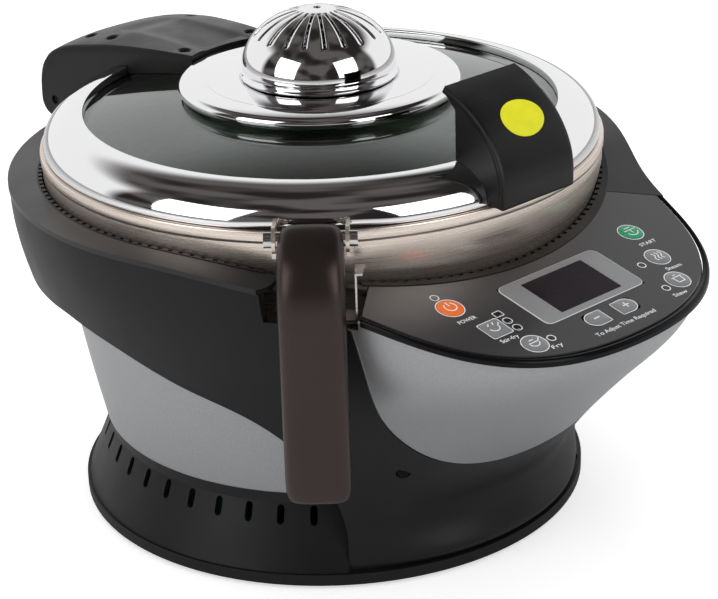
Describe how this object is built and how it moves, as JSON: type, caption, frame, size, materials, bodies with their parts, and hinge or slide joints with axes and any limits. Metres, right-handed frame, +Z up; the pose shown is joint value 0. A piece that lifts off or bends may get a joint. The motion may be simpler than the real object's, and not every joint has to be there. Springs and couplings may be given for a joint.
{
  "type": "stirring multicooker",
  "caption": "Countertop multicooker: steel pot in a flared housing, hinged glass lid with chrome ring and vent dome, sloping key panel, folding pot handle and geared stirrer.",
  "frame": {"origin": "middle of the underside, on the table", "axes": "+Z up, -Y towards the control panel, +Y towards the lid's hinge, +X to the right of a user facing the panel"},
  "size_m": [0.3816, 0.4742, 0.305],
  "materials": {
    "rubber": "matte",
    "tray_plastic": "matte",
    "screw_steel": "zinc plated",
    "black_plastic": "satin",
    "silver_paint": "satin metallic",
    "gloss_black": "gloss",
    "film": "semi-gloss",
    "light_lens": "clear",
    "screen_grey": "semi-gloss",
    "screen_dark": "gloss",
    "board": "satin",
    "pot_steel": "brushed",
    "bush_brass": "machined",
    "seal_silicone": "matte",
    "cast_alloy": "as cast",
    "element_steel": "dull",
    "sheet_steel": "bright",
    "gear_nylon": "satin",
    "chrome": "mirror",
    "lid_glass": "smoky",
    "gasket_rubber": "matte",
    "handle_brown": "satin",
    "key_grey": "satin",
    "key_orange": "satin",
    "key_green": "satin",
    "paddle_black": "satin"
  },
  "bodies": {
    "base": {"rubber_feet": "rubber", "base_tray": "tray_plastic", "housing_screws": "screw_steel", "vent_skirt": "black_plastic", "silver_bowl": "silver_paint", "upper_shell": "black_plastic", "chin_cover": "silver_paint", "deck_cover": "black_plastic", "panel_rim": "gloss_black", "panel_film": "film", "panel_plate": "tray_plastic", "led_lenses": "light_lens", "screen_frame": "screen_grey", "screen_window": "screen_dark", "display_module": "board", "control_board": "board", "inner_pot": "pot_steel", "spindle_bush": "bush_brass", "spindle_seal": "seal_silicone", "heater_plate": "cast_alloy", "heating_element": "element_steel", "heat_shield": "sheet_steel", "probe_bracket": "sheet_steel", "probe_spring": "screw_steel", "drive_motor": "sheet_steel", "gear_case": "tray_plastic", "gear_case_lid": "tray_plastic", "power_board": "board", "power_inlet": "black_plastic", "pot_bracket": "sheet_steel", "handle_pin": "chrome", "notch_liner": "sheet_steel", "hinge_bracket": "sheet_steel"},
    "lid": {"lid_ring": "chrome", "lid_gasket": "gasket_rubber", "lid_glass": "lid_glass", "centre_plate": "chrome", "vent_neck": "chrome", "vent_shutter": "chrome", "lid_handle": "black_plastic", "hinge_cover": "black_plastic", "cover_screws": "screw_steel", "hinge_arm": "sheet_steel", "hinge_pin": "screw_steel"},
    "vent_cap": {"vent_dome": "chrome"},
    "grip": {"handle_grip": "handle_brown"},
    "stirrer": {"pot_spindle": "pot_steel", "stir_paddle": "paddle_black", "output_shaft": "screw_steel", "drive_wheel": "gear_nylon"},
    "pinion": {"drive_pinion": "screw_steel"},
    "probe": {"temperature_probe": "sheet_steel"},
    "power_key": {"power_key": "key_orange"},
    "stir_fry_key": {"stir_fry_key": "key_grey"},
    "fry_key": {"fry_key": "key_grey"},
    "start_key": {"start_key": "key_green"},
    "steam_key": {"steam_key": "key_grey"},
    "stew_key": {"stew_key": "key_grey"},
    "minus_key": {"minus_key": "key_grey"},
    "plus_key": {"plus_key": "key_grey"}
  },
  "joints": [
    {"name": "lid_hinge", "type": "hinge", "parent": "base", "child": "lid", "pos_m": [0, 0.22515, 0.215], "axis": [-1, 0, 0], "range_deg": [0, 95]},
    {"name": "vent_turn", "type": "hinge", "parent": "lid", "child": "vent_cap", "pos_m": [0, 0.01915, 0.27], "axis": [0, 0, 1], "range_deg": [0, 9]},
    {"name": "handle_fold", "type": "hinge", "parent": "base", "child": "grip", "pos_m": [-0.12944, -0.11442, 0.2315], "axis": [-0.7181, 0.6959, 0], "range_deg": [0, 90]},
    {"name": "stirrer_turn", "type": "hinge", "parent": "base", "child": "stirrer", "pos_m": [0, 0.01915, 0.09], "axis": [0, 0, 1], "continuous": true},
    {"name": "pinion_turn", "type": "hinge", "parent": "base", "child": "pinion", "pos_m": [0.05415, 0.01915, 0.054], "axis": [0, 0, 1], "continuous": true},
    {"name": "probe_slide", "type": "slide", "parent": "base", "child": "probe", "axis": [0, 0, -1], "range_m": [0, 0.002], "stiffness_N_per_m": 400, "springref_m": -0.003, "deforming": ["probe_spring"]},
    {"name": "power_press", "type": "slide", "parent": "base", "child": "power_key", "axis": [0, 0.2267, -0.974], "range_m": [0, 0.0007], "stiffness_N_per_m": 900, "springref_m": -0.0004},
    {"name": "stir_fry_press", "type": "slide", "parent": "base", "child": "stir_fry_key", "axis": [0, 0.2267, -0.974], "range_m": [0, 0.0007], "stiffness_N_per_m": 900, "springref_m": -0.0004},
    {"name": "fry_press", "type": "slide", "parent": "base", "child": "fry_key", "axis": [0, 0.2267, -0.974], "range_m": [0, 0.0007], "stiffness_N_per_m": 900, "springref_m": -0.0004},
    {"name": "start_press", "type": "slide", "parent": "base", "child": "start_key", "axis": [0, 0.2267, -0.974], "range_m": [0, 0.0007], "stiffness_N_per_m": 900, "springref_m": -0.0004},
    {"name": "steam_press", "type": "slide", "parent": "base", "child": "steam_key", "axis": [0, 0.2267, -0.974], "range_m": [0, 0.0007], "stiffness_N_per_m": 900, "springref_m": -0.0004},
    {"name": "stew_press", "type": "slide", "parent": "base", "child": "stew_key", "axis": [0, 0.2267, -0.974], "range_m": [0, 0.0007], "stiffness_N_per_m": 900, "springref_m": -0.0004},
    {"name": "minus_press", "type": "slide", "parent": "base", "child": "minus_key", "axis": [0, 0.2267, -0.974], "range_m": [0, 0.0007], "stiffness_N_per_m": 900, "springref_m": -0.0004},
    {"name": "plus_press", "type": "slide", "parent": "base", "child": "plus_key", "axis": [0, 0.2267, -0.974], "range_m": [0, 0.0007], "stiffness_N_per_m": 900, "springref_m": -0.0004}
  ],
  "couplings": [
    {"joint": "pinion_turn", "follows": "stirrer_turn", "ratio": -5}
  ]
}
